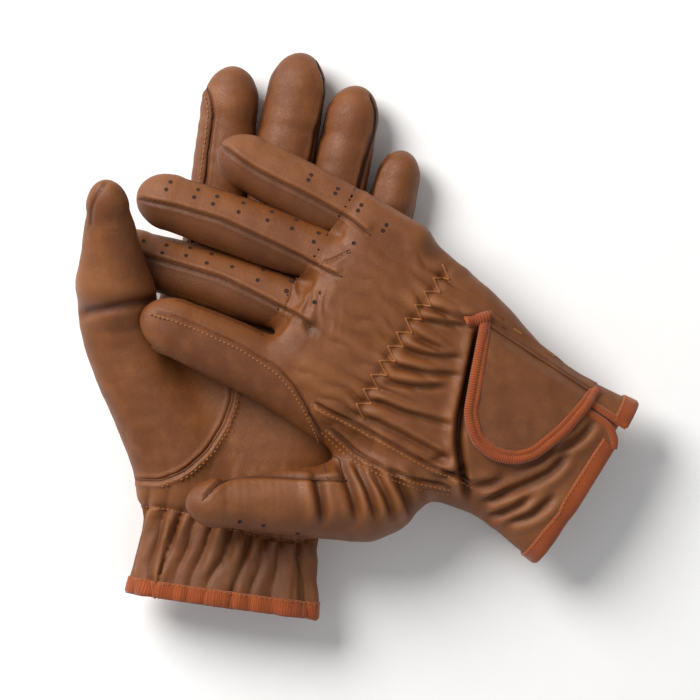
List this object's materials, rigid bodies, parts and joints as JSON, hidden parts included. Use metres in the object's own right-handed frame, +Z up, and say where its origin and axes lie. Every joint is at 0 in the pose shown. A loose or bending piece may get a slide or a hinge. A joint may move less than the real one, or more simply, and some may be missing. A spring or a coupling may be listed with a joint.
{
  "type": "leather gloves",
  "caption": "Pair of unlined leather riding gloves laid crosswise, with bound cuffs, shirred wrists and touch-fastener tabs.",
  "frame": {"origin": "on the table, under the middle of the left glove's hand, at the centre of its flattened back", "axes": "+Z up from the table, +Y along the table towards the left glove's fingertips (8 degrees off the left glove's own length), +X to the right when seen from above"},
  "size_m": [0.2399, 0.2435, 0.0693],
  "materials": {
    "tan_leather": "grained, semi-matt",
    "fourchette_leather": "grained, semi-matt",
    "trim_leather": "grained, semi-matt",
    "lining_leather": "suede",
    "orange_binding": "ribbed woven tape",
    "elastic_tape": "woven elastic",
    "stitching_thread": "spun thread",
    "loop_tape": "napped loops",
    "hook_tape": "moulded hooks"
  },
  "bodies": {
    "left_glove": {"left_hand_back": "tan_leather", "left_hand_palm": "tan_leather", "left_thumb_base": "tan_leather", "left_index_patch": "trim_leather", "left_wrist_elastics": "elastic_tape", "left_shirring_thread": "stitching_thread", "left_hem_binding": "orange_binding", "left_vent_binding": "orange_binding", "left_loop_pad": "loop_tape", "left_index_back": "tan_leather", "left_index_palm": "tan_leather", "left_index_fourchettes": "fourchette_leather", "left_middle_back": "tan_leather", "left_middle_palm": "tan_leather", "left_middle_fourchettes": "fourchette_leather", "left_ring_back": "tan_leather", "left_ring_palm": "tan_leather", "left_ring_fourchettes": "fourchette_leather", "left_pinky_back": "tan_leather", "left_pinky_palm": "tan_leather", "left_pinky_fourchettes": "fourchette_leather"},
    "right_glove": {"right_hand_back": "tan_leather", "right_hand_palm": "tan_leather", "right_thumb_base": "tan_leather", "right_index_patch": "trim_leather", "right_wrist_elastics": "elastic_tape", "right_shirring_thread": "stitching_thread", "right_hem_binding": "orange_binding", "right_vent_binding": "orange_binding", "right_loop_pad": "loop_tape", "right_index_back": "tan_leather", "right_index_palm": "tan_leather", "right_index_fourchettes": "fourchette_leather", "right_middle_back": "tan_leather", "right_middle_palm": "tan_leather", "right_middle_fourchettes": "fourchette_leather"},
    "left_tab": {"left_tab_leather": "trim_leather", "left_tab_lining": "lining_leather", "left_tab_binding": "orange_binding", "left_hook_pad": "hook_tape"},
    "left_thumb": {"left_thumb_back": "tan_leather", "left_thumb_palm": "tan_leather"},
    "right_tab": {"right_tab_leather": "trim_leather", "right_tab_lining": "lining_leather", "right_tab_binding": "orange_binding", "right_hook_pad": "hook_tape"},
    "right_thumb": {"right_thumb_back": "tan_leather", "right_thumb_palm": "tan_leather"},
    "left_index_end": {"left_index_tip": "tan_leather"},
    "left_middle_end": {"left_middle_tip": "tan_leather"},
    "left_ring_end": {"left_ring_tip": "tan_leather"},
    "left_pinky_end": {"left_pinky_tip": "tan_leather"},
    "right_ring": {"right_ring_back": "tan_leather", "right_ring_palm": "tan_leather", "right_ring_fourchettes": "fourchette_leather"},
    "right_pinky": {"right_pinky_back": "tan_leather", "right_pinky_palm": "tan_leather", "right_pinky_fourchettes": "fourchette_leather"}
  },
  "joints": [
    {"name": "right_tab_open", "type": "hinge", "parent": "right_glove", "child": "right_tab", "pos_m": [0.11851, -0.00594, 0.03401], "axis": [-0.8313, 0.5358, 0.1478], "range_deg": [0, 115]},
    {"name": "left_tab_open", "type": "hinge", "parent": "left_glove", "child": "left_tab", "pos_m": [0.02398, -0.07121, 0.01], "axis": [-0.1392, -0.9903, 0], "range_deg": [0, 100]},
    {"name": "left_index_curl", "type": "hinge", "parent": "left_glove", "child": "left_index_end", "pos_m": [-0.01743, 0.08, 0.01657], "axis": [0.9893, -0.146, 0], "range_deg": [0, 45]},
    {"name": "left_middle_curl", "type": "hinge", "parent": "left_glove", "child": "left_middle_end", "pos_m": [0.00951, 0.0822, 0.01671], "axis": [0.9829, -0.1843, 0], "range_deg": [0, 60]},
    {"name": "left_ring_curl", "type": "hinge", "parent": "left_glove", "child": "left_ring_end", "pos_m": [0.03274, 0.06876, 0.0165], "axis": [0.9781, -0.208, 0], "range_deg": [0, 60]},
    {"name": "left_pinky_curl", "type": "hinge", "parent": "left_glove", "child": "left_pinky_end", "pos_m": [0.0539, 0.05254, 0.01547], "axis": [0.9697, -0.2445, 0], "range_deg": [0, 60]},
    {"name": "left_thumb_lift", "type": "hinge", "parent": "left_glove", "child": "left_thumb", "pos_m": [-0.06131, 0.01054, 0.04099], "axis": [0.9966, 0.0821, 0], "range_deg": [0, 28]},
    {"name": "right_ring_lift", "type": "hinge", "parent": "right_glove", "child": "right_ring", "pos_m": [0.02294, 0.03351, 0.04053], "axis": [0.3659, 0.9302, 0.0293], "range_deg": [0, 22]},
    {"name": "right_pinky_lift", "type": "hinge", "parent": "right_glove", "child": "right_pinky", "pos_m": [0.0361, 0.0534, 0.03943], "axis": [0.4888, 0.8723, 0.0092], "range_deg": [0, 22]},
    {"name": "right_thumb_lift", "type": "hinge", "parent": "right_glove", "child": "right_thumb", "pos_m": [0.03879, -0.07024, 0.03905], "axis": [0.0141, 0.9968, 0.0789], "range_deg": [0, 28]},
    {"name": "right_glove_draw", "type": "slide", "parent": "left_glove", "child": "right_glove", "axis": [0.8101, -0.5201, 0.2705], "range_m": [0, 0.15]}
  ]
}
